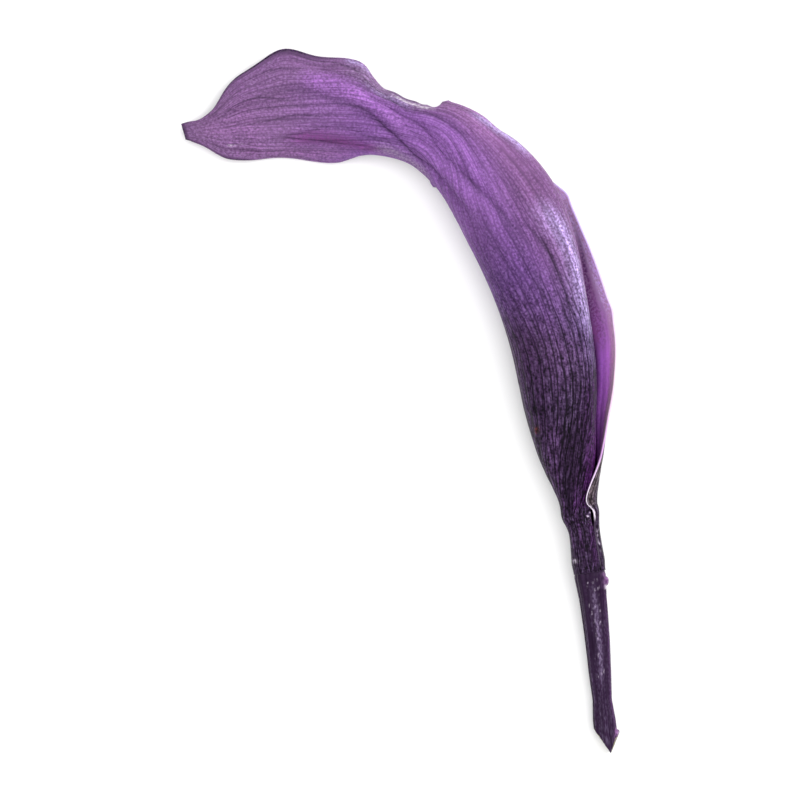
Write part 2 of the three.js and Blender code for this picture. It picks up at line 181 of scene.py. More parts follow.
# Marks on the outer skin are paths too, each with its half width across, how strongly it covers the skin,
# and its colour. Later ones lie over earlier ones.
MARKS = {
    "magenta shadow": (((12.7, 0.83), (13.3, 0.775), (13.85, 0.705), (14.4, 0.665), (14.9, 0.67),
                        (15.5, 0.68)), 0.06, 0.8, "magenta"),
    "violet band": (((12.5, 0.46), (13.0, 0.43), (13.5, 0.33), (14.0, 0.27), (15.2, 0.2)),
                    0.07, 0.7, "lilac"),
    "left shade": (((6.5, 0.48), (8.5, 0.46), (9.96, 0.47), (11.3, 0.62), (11.9, 0.72)),
                   0.05, 0.15, "dusk"),
    "crook shade": (((9.6, 0.12), (10.5, 0.14), (11.5, 0.12)), 0.07, 0.4, "dull"),
    "grey band": (((13.7, 0.1), (14.5, 0.1), (16.0, 0.1)), 0.06, 0.4, "mauve"),
    # The lip's paler inner side, with a painted highlight on it
    "pale lip": (((13.78, 0.05), (14.05, 0.04), (14.32, 0.03)), 0.035, 0.8, "painted_sheen"),
    "flap": (((13.3, 0.8), (14.0, 0.83), (15.0, 0.87), (16.0, 0.86), (17.3, 0.88)), 0.08, 0.5, "rose"),
    "neck shade": (((11.7, 0.78), (12.3, 0.85), (12.7, 0.82), (13.1, 0.78), (13.5, 0.74)),
                   0.08, 0.9, "ash"),
    "edge grey": (((12.2, 0.12), (13.0, 0.12), (13.6, 0.12), (14.4, 0.14)), 0.09, 0.7, "ash"),
    # Painted highlight on the neck
    "neck light": (((12.8, 0.22), (13.3, 0.2), (14.0, 0.2)), 0.035, 0.45, "painted_sheen"),
    "limb light": (((13.6, 0.34), (14.0, 0.32), (14.45, 0.265), (15.1, 0.2)), 0.06, 0.6, "lilac"),
    # Painted highlight along the rolled margin at the neck
    "bright sliver": (((12.35, 0.2), (12.7, 0.18), (12.95, 0.165), (13.45, 0.14)), 0.02, 1.0, "white"),
    "sliver edge": (((12.2, 0.05), (12.8, 0.05), (13.6, 0.04)), 0.05, 0.8, "dusk"),
    "tail light": (((15.6, 0.5), (16.8, 0.5), (17.9, 0.5)), 0.3, 0.4, "rose"),
    "near tail edge": (((13.9, 0), (16.0, 0.0), (18.6, 0.0)), 0.045, 1.0, "plum"),
    "far tail edge": (((16.2, 1), (17.3, 1.0), (18.6, 1.0)), 0.045, 1.0, "plum"),
    "tip edge": (((17.84, 0.5), (18.0, 0.5), (18.4, 0.5)), 0.7, 0.9, "plum"),
    "left dark": (((4.0, 0.44), (5.6, 0.43), (6.8, 0.44), (8.2, 0.46)), 0.08, 0.6, "aubergine"),
    # Painted highlights on the flank: a sheen, and beside it a glint
    "flank bloom": (((6.7, 0.11), (7.4, 0.13), (7.95, 0.13), (8.7, 0.12), (9.2, 0.13), (10.1, 0.17)),
                    0.048, 0.8, "painted_sheen"),
    "flank glint": (((6.8, 0.06), (7.6, 0.06), (8.3, 0.07)), 0.015, 0.6, "white"),
    # Painted shade where the near wall rolls under beside the crevice
    "near edge shade": (((2.4, 0.05), (4.0, 0.1), (5.2, 0.14), (6.5, 0.13)), 0.08, 1.0, "throat"),
    "near shade": (((4.5, 0.12), (5.4, 0.13), (6.5, 0.12)), 0.07, 0.5, "ink"),
    "throat dark": (((1.8, 0.22), (3.2, 0.26), (4.4, 0.27), (5.4, 0.27)), 0.07, 0.85, "ink"),
    "collar purple": (((0.0, 0.03), (0.6, 0.03), (1.8, 0.0)), 0.05, 0.45, "wine"),
    # Painted highlight on the shoulder
    "shoulder bloom": (((10.5, 0.05), (10.9, 0.04), (11.4, 0.07), (11.9, 0.1)), 0.035, 0.9, "painted_sheen"),
    "throat light": (((2.4, 0.33), (3.6, 0.36), (5.2, 0.37)), 0.05, 0.5, "dusk"),
    "rust spot": (((4.72, 0.449), (4.88, 0.447)), 0.013, 1.0, "rust"),
    "rust core": (((4.7, 0.443), (4.8, 0.441)), 0.006, 1.0, "ink"),
    "scar": (((0.28, 0.26), (0.42, 0.29)), 0.035, 0.9, "scar"),
    "lip purple": (((2.2, 0.1), (3.2, 0.06), (4.2, 0.04), (5.6, 0.02)), 0.09, 0.85, "wine"),
    "lip edge": (((1.5, 1.0), (2.2, 0.997), (3.0, 0.998), (3.6, 1.0)), 0.005, 1.0, "white"),
    "pale spots": (((16.4, 0.735), (16.65, 0.75), (16.95, 0.775)), 0.01, 0.7, "scar"),
    "outer wrap": (((2.3, 0.97), (4.4, 0.98)), 0.05, 0.8, "bark"),
}
# Marks on the inner skin, where it shows beside the near edge. The glow is painted light that comes
# through the leaf, the strip's shade and the crevice are painted shade, and the pale band along the edge
# is a painted highlight
LINING_MARKS = {
    "strip glow": (((4.0, 0.93), (5.0, 0.93), (6.0, 0.935)), 0.02, 0.7, "glow"),
    "strip middle": (((6.4, 0.93), (7.0, 0.935), (7.8, 0.94), (8.4, 0.95)), 0.02, 0.6, "dull"),
    "strip shade": (((6.4, 0.905), (7.4, 0.915), (8.3, 0.94), (9.0, 0.965)), 0.022, 0.8, "magenta"),
    "strip rose": (((6.8, 0.97), (7.2, 0.96), (7.8, 0.955), (8.5, 0.96), (9.6, 0.97)),
                   0.012, 0.55, "dull"),
    "strip bloom": (((7.0, 0.99), (7.8, 0.985), (8.6, 0.98), (9.6, 0.975), (10.6, 0.97)),
                    0.03, 1.0, "painted_lining_sheen"),
    "crevice shade": (((7.0, 0.9), (7.8, 0.905), (8.4, 0.93), (8.95, 0.96), (9.4, 0.98)),
                0.014, 0.7, "wine"),
}
# Painted glints, as pale specks at random along a line: their reach along, the line's place across and
# how far they stray from it, and their length and width
SLIT_SPECKS = (
    ((0.4, 1.1), (0.98, 0.01), 0.03, 0.01),
    ((1.3, 2.1), (0.02, 0.012), 0.02, 0.012),
)
EDGE_GLINTS = ((12.6, 13.7), (0.17, 0.03), 0.02, 0.01)
STEM_SPECKS = ((12, 33), (0.235, 0.04), 0.25, 0.006)
SPECK_LENGTHS = (1, 4)  # times the length that a line gives
SPECK_WIDTHS = (0.5, 1.2)  # times its width
SPECK_COVERS = (0.15, 0.75)  # how strongly they cover the skin
FAINT = 1e-4  # strength under which a mark doesn't show


def track(places, values):
    """A smooth run through values at rising places, as a function of the place."""
    places = np.array(places, float)
    values = np.array(values, float)
    steps = np.diff(places)
    slopes = np.diff(values, axis=0) / steps[:, None]
    spans = (places[2:] - places[:-2])[:, None]
    inner = (values[2:] - values[:-2]) / spans
    slopes = np.vstack([slopes[:1], inner, slopes[-1:]])

    def at(place):
        place = np.clip(place, places[0], places[-1])
        low = np.clip(np.searchsorted(places, place, side="right") - 1, 0, len(steps) - 1)
        step = steps[low][..., None]
        w = (place - places[low])[..., None] / step
        here, there = values[low], values[low + 1]
        leave, reach = slopes[low] * step, slopes[low + 1] * step
        bend = 3 * (there - here) - 2 * leave - reach
        turn = 2 * (here - there) + leave + reach
        return here + leave * w + bend * w**2 + turn * w**3

    return at


MIDDLE = track(range(LAST + 1), [(*middle, crest) for middle, crest, *_ in STATIONS.values()])
EDGES = track(range(LAST + 1), [edges for _, _, edges, _, _ in STATIONS.values()])
REACH = track(range(LAST + 1), [reach for _, _, _, reach, _ in STATIONS.values()])
WALLS = track(range(LAST + 1), [walls for *_, walls in STATIONS.values()])


def smoothstep(x, low, high):
    """0 below low, 1 above high and smooth between."""
    t = np.clip((x - low) / (high - low), 0, 1)
    return t * t * (3 - 2 * t)


def lerp(a, b, share):
    """The value that lies a share of the way from a to b."""
    return a + (b - a) * share


def bell(offset, spread):
    """A hump of height 1 where offset is 0."""
    return np.exp(-((offset / spread) ** 2))


def rolled(station, across):
    """Points of the rolled blade without its folds."""
    middle = MIDDLE(station)
    inside = np.clip(station, SHORT_STEP, LAST - SHORT_STEP)
    along = (MIDDLE(inside + SHORT_STEP) - MIDDLE(inside - SHORT_STEP))[..., :2]
    along = along / np.linalg.norm(along, axis=-1, keepdims=True)
    near, back, far = np.moveaxis(REACH(station), -1, 0)
    rise, sag, lap = np.moveaxis(WALLS(station), -1, 0)
    edges = EDGES(station)
    turn = lerp(edges[..., 0], edges[..., 1], across)
    half = np.where(turn < 180, lerp(near, back, smoothstep(turn, 0, 180)),
                    lerp(back, far, smoothstep(turn, 180, 360)))
    height = np.where(turn < 180, rise, lerp(sag, rise + lap, smoothstep(turn, 270, 360)))
    faces_up = ((turn > 0) & (turn < 180)) | (turn > 360)
    cos = np.cos(np.radians(turn))
    sin = np.sin(np.radians(turn))
    out = half * cos
    up = height * sin * (1 + np.where(faces_up, FLAT_TOP, FLAT_BELLY) * cos * cos)
    for side, at, spread_along, spread_across, push, lift in WAVES.values():
        share = bell(station - at, spread_along) * bell(across - side, spread_across)
        out = out + share * push * cos / np.sqrt(cos * cos + PUSH_EASE)
        up = up + share * lift
    x = middle[..., 0] + along[..., 1] * out
    y = middle[..., 1] - along[..., 0] * out
    return np.stack([x, y, middle[..., 2] - rise + up], axis=-1)


def dome(along, over, radius):
    """Height of a half round bead, which is 1 at its middle, at a place along and over from there."""
    return np.sqrt(np.maximum(0, 1 - (along**2 + over**2) / radius**2))


def fold_shares(folds, station, across):
    """How strongly each fold is felt at a place, from 0 to 1, with what else its line in the table says."""
    for places, width, *rest in folds.values():
        stations, shares = zip(*places)
        line = track(stations, np.array(shares)[:, None])(station)[..., 0]
        ends = np.minimum(station - stations[0], stations[-1] - station)
        ease = FOLD_EASE * (stations[-1] - stations[0])
        yield smoothstep(ends, 0, ease) * bell(across - line, width), *rest


def normals(surface, station, across):
    """Unit normals of a surface over station and share across, from short steps over it."""
    inside = np.clip(station, SHORT_STEP, LAST - SHORT_STEP)
    along = surface(inside + SHORT_STEP, across) - surface(inside - SHORT_STEP, across)
    over = surface(station, across + SHORT_STEP) - surface(station, across - SHORT_STEP)
    normal = np.cross(along, over)
    return normal / np.linalg.norm(normal, axis=-1, keepdims=True)


def folded(station, across):
    """Points of the rolled blade with its folds, creases and ribs."""
    height = RIB_HEIGHT * np.cos(2 * np.pi * RIBS * across) * smoothstep(station, 0, RIB_START)
    for folds in (FOLDS, CREASES):
        for share, top, _ in fold_shares(folds, station, across):
            height = height + share * top
    return rolled(station, across) + normals(rolled, station, across) * height[..., None]


def to_frame(points):
    """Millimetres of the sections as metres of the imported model's frame."""
    return (points - np.array([*FLOWER_MIDDLE, 0])) * MM


# Meshes

SKIN_GAP = 0.01  # apart in the flat grid, so that height tells the skins from each other


def leaf_grid(rows, columns):
    """A flat closed leaf: an upper skin, an under skin and a rim of two bands that joins them.

    Its x runs across from 0 to 1, its y along from 0 to 1, and its z from the upper skin at 0 to the
    under skin at minus SKIN_GAP.
    """
    bm = bmesh.new()
    bmesh.ops.create_grid(bm, x_segments=columns, y_segments=rows, size=0.5)
    bmesh.ops.translate(bm, vec=(0.5, 0.5, 0), verts=bm.verts[:])
    under = bmesh.ops.duplicate(bm, geom=bm.verts[:] + bm.edges[:] + bm.faces[:])["geom"]
    under_faces = [part for part in under if isinstance(part, bmesh.types.BMFace)]
    under_verts = [part for part in under if isinstance(part, bmesh.types.BMVert)]
    bmesh.ops.translate(bm, vec=(0, 0, -SKIN_GAP), verts=under_verts)
    bmesh.ops.reverse_faces(bm, faces=under_faces)
    for face in under_faces:
        face.material_index = 1
    rim = bmesh.ops.bridge_loops(bm, edges=[edge for edge in bm.edges if edge.is_boundary])
    for face in rim["faces"]:
        face.material_index = 2
    bmesh.ops.subdivide_edges(bm, edges=rim["edges"], cuts=1, use_grid_fill=True)
    return bm


def rod_grid(rows, sides, rings):
    """A closed cylinder of radius 1 along z from 0 to 1, with rings in both of its caps."""
    bm = bmesh.new()
    bmesh.ops.create_cone(bm, segments=sides, radius1=1, radius2=1, depth=1, cap_ends=True)
    bmesh.ops.translate(bm, vec=(0, 0, 0.5), verts=bm.verts[:])
    upright = [edge for edge in bm.edges if abs(edge.verts[0].co.z - edge.verts[1].co.z) > 0.5]
    bmesh.ops.subdivide_edges(bm, edges=upright, cuts=rows - 1, use_grid_fill=True)
    caps = [face for face in bm.faces if len(face.verts) > 4]
    for _ in range(rings):
        bmesh.ops.inset_region(bm, faces=caps, thickness=1 / (rings + 1))
    bmesh.ops.poke(bm, faces=caps)
    return bm


def grid_places(mesh):
    """The grid coordinates of a mesh's vertices."""
    places = np.empty(len(mesh.vertices) * 3)
    mesh.vertices.foreach_get("co", places)
    return places.reshape(-1, 3)


def mesh_from(bm, name, materials):
    """A smooth shaded mesh of the bmesh."""
    mesh = bpy.data.meshes.new(name)
    bm.to_mesh(mesh)
    bm.free()
    mesh.polygons.foreach_set("use_smooth", np.ones(len(mesh.polygons), bool))
    for material in materials:
        mesh.materials.append(material)
    return mesh


def place_mesh(mesh, points):
    """Moves the vertices to their points in the frame of the sections and turns the faces outward."""
    mesh.vertices.foreach_set("co", to_frame(points).ravel())
    bm = bmesh.new()
    bm.from_mesh(mesh)
    bmesh.ops.recalc_face_normals(bm, faces=bm.faces[:])
    bm.to_mesh(mesh)
    bm.free()


def write_attribute(mesh, name, kind, values):
    """Keeps one value for each vertex, for the materials."""
    field = {"FLOAT_COLOR": "color", "FLOAT_VECTOR": "vector"}[kind]
    attribute = mesh.attributes.new(name, kind, "POINT")
    attribute.data.foreach_set(field, np.ascontiguousarray(values, np.float32).ravel())


def add_piece(mesh, node):
    """Puts a mesh in the scene as a piece that rides on the flower and stands for a CAD node."""
    piece = bpy.data.objects.new(mesh.name, mesh)
    bpy.context.scene.collection.objects.link(piece)
    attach(piece, "root")
    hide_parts(node)
    return piece


# The stem and the spadix

# The stem from its cut end up: the middle and the radius. Above the shoulder it runs inside the spathe.
STEM = {
    "cut": ((41.5, -68.1, 2.2), 2.3),
    "foot": ((41.0, -64.3, 2.35), 2.3),
    "ankle": ((40.6, -60.3, 2.6), 1.95),
    "shin": ((40.1, -54.3, 3.1), 2.3),
    "middle": ((39.5, -46.9, 3.7), 2.6),
    "top": ((38.75, -39.9, 4.4), 2.85),
    "brim": ((38.15, -35.3, 4.82), 3.24),
    "shoulder": ((38.02, -34.3, 4.9), 3.05),
    "neck": ((38.0, -34.1, 4.92), 2.3),
    "collar": ((36.95, -28.5, 5.2), 2.05),
    "seat": ((36.35, -25.2, 5.35), 1.9),
}
STEM_LENGTH = 40  # millimetres of way that the stem's materials count as 1
STEM_GIRTH = 2.5  # radius that turns the angle round the stem into millimetres
STEM_RIBS = ((7, 0.09, 0.5), (17, 0.05, 1), (29, 0.03, 0))  # ribs round it, their height and their turn
RIB_SINK = 0.1  # how far the ribs are set into the stem, mm
TWIST = 0.01  # how far the ribs turn round the stem in a millimetre of way, radians
FLATTENING = (24, 32.5)  # way over which the stem comes to fit the flatter ring of the spathe, mm
CUT_CORNERS = ((-1, -2.3), (0.2, 2.9), (1, -1.3))  # side, and how far beyond the middle of the cut
# Beads on the stem: the way along, the turn round it, the radius and the height in millimetres
BEADS = {
    "sap bead": (0.0, 0.055, 0.85, 0.75),
    "pale bead": (31.7, 0.01, 1.0, 0.6),
}
# Marks on the stem: paths of way along and turn round, with half width, cover and colour. The ridge
# marks and the glints are painted highlights.
STEM_MARKS = {
    "top shade": (((24.0, 0.25), (31.0, 0.25), (38.0, 0.25)), 0.2, 0.9, "ink"),
    "purple rim": (((-4.0, 0.03), (36.0, 0.03)), 0.06, 1.0, "wine"),
    "left groove": (((-4.0, 0.36), (34.0, 0.36)), 0.02, 0.8, "ink"),
    "right groove": (((-4.0, 0.16), (34.0, 0.16)), 0.015, 0.7, "ink"),
    "bright ridge": (((9.0, 0.225), (20.0, 0.235), (33.0, 0.245)), 0.03, 1.0, "ridge_highlight"),
    "left ridge": (((0.0, 0.395), (31.0, 0.395)), 0.01, 0.7, "ridge_highlight"),
    "foot ridge": (((-2.0, 0.31), (9.0, 0.3)), 0.012, 0.5, "ridge_highlight"),
    "sap": (((-1.6, 0.055), (1.6, 0.055)), 0.055, 1.0, "rose"),
    "sap glint": (((-0.6, 0.06), (0.6, 0.06)), 0.016, 1.0, "white"),
    "pale bead": (((30.0, 0.03), (34.0, 0.03)), 0.06, 1.0, "rose"),
    "bead glint": (((29.9, 0.06), (31.2, 0.05)), 0.03, 1.0, "white"),
}
CAP_RINGS = 3  # rings of faces in each end
# The spadix from its seat on the stem up: the middle and the radius
SPADIX = {
    "seat": ((36.3, -24.9, 5.37), 1.7),
    "base": ((35.5, -19.9, 5.7), 1.85),
    "waist": ((34.2, -11.9, 6.0), 2.15),
    "middle": ((33.5, -2.9, 6.4), 2.25),
    "chest": ((33.0, 6.1, 6.8), 2.1),
    "top": ((32.4, 13.1, 7.0), 1.6),
    "tip": ((32.1, 15.6, 7.0), 0.7),
}
SPADIX_LENGTH = 41.5  # millimetres of way that the rings of florets share
FLORET_HEIGHT = 0.2  # in millimetres


# Colours

def linear(hex_colour):
    """A linear RGB colour from an sRGB hex value."""
    parts = [int(hex_colour[start:start + 2], 16) / 255 for start in (1, 3, 5)]
    return tuple(c / 12.92 if c <= 0.04045 else ((c + 0.055) / 1.055) ** 2.4 for c in parts)


def tint(name, description, hex_colour):
    """A colour setting."""
    return FloatVectorProperty(name=name, description=description, subtype="COLOR", size=3, min=0, max=1,
                               default=linear(hex_colour))


def painted(marks, colours, station, across):
    """Marks laid over each other, as the colour and the strength that a material mixes in."""
    colour = np.zeros((len(station), 3))
    strength = np.zeros(len(station))
    for share, cover, paint in fold_shares(marks, station, across):
        share = share * cover
        colour = lerp(colour, np.array(getattr(colours, paint)), share[:, None])
        strength = lerp(strength, 1, share)
    colour = colour / np.maximum(strength, FAINT)[:, None]
    return np.column_stack([colour, strength])


# Materials

# Widths and lengths of the skins in millimetres: the spathe at its widest and along its back, and the stem
# round it and along it
SPATHE_SKIN = (54, 145)
STEM_SKIN = (2 * np.pi * STEM_GIRTH, STEM_LENGTH)
# Widths and lengths of the patterns that are drawn out along a skin, in millimetres. Real cells are about
# 0.05 mm wide, too fine to show, so threads and grain are drawn as rows of about ten of them.
THREADS = (0.57, 2.07)
VEIN_BENDS = (3.9, 24)
VEIN_RIPPLES = (1.8, 3.2)
BANDS = (2.1, 29)
LINING_VEINS = (0.6, 24)
STEM_STREAKS = (0.46, 8)
STEM_GRAIN = (0.39, 0.8)
FINE_VEINS = 2.3  # fine veins to each main one
# Sizes of the patterns that are the same in every direction
DRIFT = 50 / 3 * MM  # patches over which colours drift
VESSELS = MM / 1.4  # ends of the stem's vessels, because real ones of 0.15 mm are too fine to show
POLLEN = MM / 3  # clumps of pollen, because single grains of 0.03 mm are too fine to show
FIBRES = MM / 0.9  # fibres of paper


def feed(tree, node, inputs):
    """Sets a node's inputs, each to a value or to the output that feeds it."""
    for name, value in inputs.items():
        if isinstance(value, bpy.types.NodeSocket):
            tree.links.new(value, node.inputs[name])
        else:
            node.inputs[name].default_value = value


def add(tree, kind, inputs=None, stops=None, out=0, **settings):
    """Adds a node and gives one of its outputs."""
    node = tree.nodes.new(kind)
    for name, value in settings.items():
        setattr(node, name, value)
    feed(tree, node, inputs or {})
    if stops:
        elements = node.color_ramp.elements
        for place, colour in stops[1:-1]:
            elements.new(place).color = colour
        for end in (0, -1):
            elements[end].position, elements[end].color = stops[end]
    return node.outputs[out]


def new_material(name):
    """A material with its node tree and its shader."""
    material = bpy.data.materials.new(name)
    material.use_nodes = True
    return material, material.node_tree, material.node_tree.nodes["Principled BSDF"]


def colour_stops(colours, names, length=LAST):
    """Stops of a ramp from the place and the name of each colour. Places run up to length."""
    return [(place / length, (*getattr(colours, name), 1)) for place, name in names]


def grey_stops(levels, length=LAST):
    """Stops of a ramp from the place and the brightness of each grey. Places run up to length."""
    return [(place / length, (level, level, level, 1)) for place, level in levels]


def skin_places(tree):
    """The places that a mesh carries: the three as one, the share across, the share along and the shade."""
    place = add(tree, "ShaderNodeAttribute", out="Vector", attribute_name="place")
    parts = add(tree, "ShaderNodeSeparateXYZ", {"Vector": place}).node
    return place, parts.outputs["X"], parts.outputs["Y"], parts.outputs["Z"]


def even_noise(tree, size, detail):
    """Noise of a real size in metres, the same in every direction."""
    spot = add(tree, "ShaderNodeTexCoord", out="Object")
    return add(tree, "ShaderNodeTexNoise", {"Vector": spot, "Scale": 1 / size, "Detail": detail})


def long_noise(tree, place, skin, size, **inputs):
    """Noise drawn out along a skin. Size and skin are widths and lengths in millimetres."""
    counts = (round(skin[0] / size[0]), round(skin[1] / size[1]), 0)
    spread = add(tree, "ShaderNodeVectorMath", {0: place, 1: counts}, operation="MULTIPLY")
    return add(tree, "ShaderNodeTexNoise", {"Vector": spread, "Scale": 1.0, **inputs})


def marked(tree, name, skin, cover):
    """A skin with its marks laid over it as strongly as they and cover say, and that strength."""
    marks = add(tree, "ShaderNodeAttribute", attribute_name=name, out="Color")
    cover = add(tree, "ShaderNodeMath", {0: cover, 1: marks.node.outputs["Alpha"]}, operation="MULTIPLY",
                use_clamp=True)
    return add(tree, "ShaderNodeMixRGB", {"Fac": cover, "Color1": skin, "Color2": marks}), cover


def spathe_outer(sizes, colours):
    """Outer skin of a coloured calla spathe: thin waxy leaf, fresh.

    The eye sees dark sunk veins that run its length, a grain of small cells between them that sparkles
    where light glances off, and a soft sheen, over a ground from aubergine to lilac. The sparkle and the
    sheen are painted highlights, and the marks and the folds paint shade as well.
    """
    material, tree, shader = new_material("waxy spathe skin")
    place, across, along, shade = skin_places(tree)
    depth = add(tree, "ShaderNodeValToRGB", {"Fac": along}, stops=grey_stops((
        (0, 1.0), (5, 1.0), (7, 0.8), (8.6, 0.42), (10.5, 0.24), (13, 0.26), (16, 0.3), (18, 0.3))))
    veins = spathe_veins(tree, sizes, place, across)
    grain = spathe_grain(tree, sizes, place, depth)
    between = add(tree, "ShaderNodeMapRange", {"Value": veins, "To Min": 1.0, "To Max": 0.15})
    high = add(tree, "ShaderNodeMath", {0: grain, 1: between}, operation="MULTIPLY")
    ground = spathe_ground(tree, colours, across, along)
    cover = add(tree, "ShaderNodeMapRange", {"Value": grain, "To Min": 0.4, "To Max": 1.3})
    ground, cover = marked(tree, "marks", ground, cover)
    # Light and dark: long soft bands, the grain, and the painted shade and light of the folds
    streaks = long_noise(tree, place, SPATHE_SKIN, BANDS, Detail=4.0, Roughness=0.65)
    light = add(tree, "ShaderNodeMapRange", {"Value": streaks, "From Min": 0.3, "From Max": 0.7,
                                             "To Min": 0.46, "To Max": 0.97})
    swell = add(tree, "ShaderNodeMath", {0: depth, 1: 2.6}, operation="MULTIPLY")
    speck = add(tree, "ShaderNodeMath", {0: high, 1: 0.42}, operation="SUBTRACT")
    speck = add(tree, "ShaderNodeMath", {0: speck, 1: swell, 2: 1.0}, operation="MULTIPLY_ADD")
    speck = add(tree, "ShaderNodeMath", {0: speck, 1: 0.15}, operation="MAXIMUM")
    light = add(tree, "ShaderNodeMath", {0: light, 1: speck}, operation="MULTIPLY")
    light = add(tree, "ShaderNodeMath", {0: light, 1: shade, 2: light}, operation="MULTIPLY_ADD")
    skin = add(tree, "ShaderNodeHueSaturation", {"Color": ground, "Value": light})
    # Painted glints: the tops of the grain, where no mark covers them, are lightened as if light glanced
    # off
    painted_glint = add(tree, "ShaderNodeMath", {0: high, 1: 3.0}, operation="POWER")
    painted_glint = add(tree, "ShaderNodeMath", {0: painted_glint, 1: depth}, operation="MULTIPLY")
    bare = add(tree, "ShaderNodeMapRange", {"Value": cover, "To Min": 0.35, "To Max": 0.1})
    painted_glint = add(tree, "ShaderNodeMath", {0: painted_glint, 1: bare}, operation="MULTIPLY")
    skin = add(tree, "ShaderNodeMixRGB", {"Fac": painted_glint, "Color1": skin, "Color2": (*colours.painted_glint, 1)})
    bump = add(tree, "ShaderNodeBump", {"Height": high, "Strength": 0.8, "Distance": 0.15 * MM})
    gloss = add(tree, "ShaderNodeMapRange", {"Value": grain, "To Min": 0.5, "To Max": 0.36})
    feed(tree, shader, {"Base Color": skin, "Normal": bump, "Roughness": gloss, "IOR": 1.4,
                        "Specular IOR Level": 0.08, "Subsurface Weight": 0.3,
                        "Subsurface Radius": (1.0, 0.45, 1.1), "Subsurface Scale": 0.6 * MM})
    return material


def spathe_ground(tree, colours, across, along):
    """Ground of the outer skin: colours along its back and along its side, which drift into each other."""
    drift = even_noise(tree, DRIFT, 2.0)
    moved = add(tree, "ShaderNodeMapRange", {"Value": drift, "To Min": -0.035, "To Max": 0.035})
    moved = add(tree, "ShaderNodeMath", {0: along, 1: moved}, operation="ADD")
    back = add(tree, "ShaderNodeValToRGB", {"Fac": moved}, stops=colour_stops(colours, (
        (0, "aubergine"), (4.2, "aubergine"), (5.4, "plum"), (6.9, "dusk"), (8.6, "violet"),
        (10.3, "orchid"), (13.5, "orchid"), (15.5, "mauve"), (18, "mauve"))))
    side = add(tree, "ShaderNodeValToRGB", {"Fac": moved}, stops=colour_stops(colours, (
        (0, "aubergine"), (4.8, "aubergine"), (6.0, "plum"), (7.3, "slate"), (8.8, "dull"), (10.2, "dull"),
        (11.6, "rose"), (13, "mauve"), (18, "mauve"))))
    swing = add(tree, "ShaderNodeMapRange", {"Value": drift, "To Min": -0.06, "To Max": 0.06})
    swung = add(tree, "ShaderNodeMath", {0: across, 1: swing}, operation="ADD")
    to_back = add(tree, "ShaderNodeMapRange", {"Value": swung, "From Min": 0.13, "From Max": 0.33},
                  interpolation_type="SMOOTHSTEP")
    return add(tree, "ShaderNodeMixRGB", {"Fac": to_back, "Color1": side, "Color2": back})


def spathe_veins(tree, sizes, place, across):
    """Veins of the outer skin: sunk lines at uneven distances, and finer ones between them."""
    bends = long_noise(tree, place, SPATHE_SKIN, VEIN_BENDS, Detail=1.0)
    bends = add(tree, "ShaderNodeMapRange", {"Value": bends, "To Min": -0.02, "To Max": 0.02})
    ripples = long_noise(tree, place, SPATHE_SKIN, VEIN_RIPPLES, Detail=1.0)
    ripples = add(tree, "ShaderNodeMapRange", {"Value": ripples, "To Min": -0.006, "To Max": 0.006})
    line = add(tree, "ShaderNodeMath", {0: across, 1: bends}, operation="ADD")
    line = add(tree, "ShaderNodeMath", {0: line, 1: ripples}, operation="ADD")
    veins = add(tree, "ShaderNodeTexVoronoi", {"W": line, "Scale": sizes.veins, "Randomness": 0.8},
                voronoi_dimensions="1D", feature="DISTANCE_TO_EDGE")
    veins = add(tree, "ShaderNodeMapRange", {"Value": veins, "From Min": 0.0, "From Max": 0.18,
                                             "To Min": 1.0, "To Max": 0.0}, interpolation_type="SMOOTHSTEP")
    fine = add(tree, "ShaderNodeTexVoronoi", {"W": line, "Scale": sizes.veins * FINE_VEINS,
                                              "Randomness": 1.0},
               voronoi_dimensions="1D", feature="DISTANCE_TO_EDGE")
    fine = add(tree, "ShaderNodeMapRange", {"Value": fine, "From Min": 0.0, "From Max": 0.25,
                                            "To Min": 0.55, "To Max": 0.0})
    return add(tree, "ShaderNodeMath", {0: veins, 1: fine}, operation="MAXIMUM")


def spathe_grain(tree, sizes, place, depth):
    """Grain of the outer skin: short threads in the tube, where it is deep, and small cells on the limb."""
    cells = even_noise(tree, sizes.cell, 2.0)
    cells = add(tree, "ShaderNodeMapRange", {"Value": cells, "From Min": 0.35, "From Max": 0.65})
    threads = long_noise(tree, place, SPATHE_SKIN, THREADS, Detail=2.0, Distortion=0.15)
    threads = add(tree, "ShaderNodeMapRange", {"Value": threads, "From Min": 0.38, "From Max": 0.62})
    grain = add(tree, "ShaderNodeMixRGB", {"Fac": depth, "Color1": cells, "Color2": threads})
    return add(tree, "ShaderNodeMixRGB", {"Fac": 0.4, "Color1": grain, "Color2": cells})


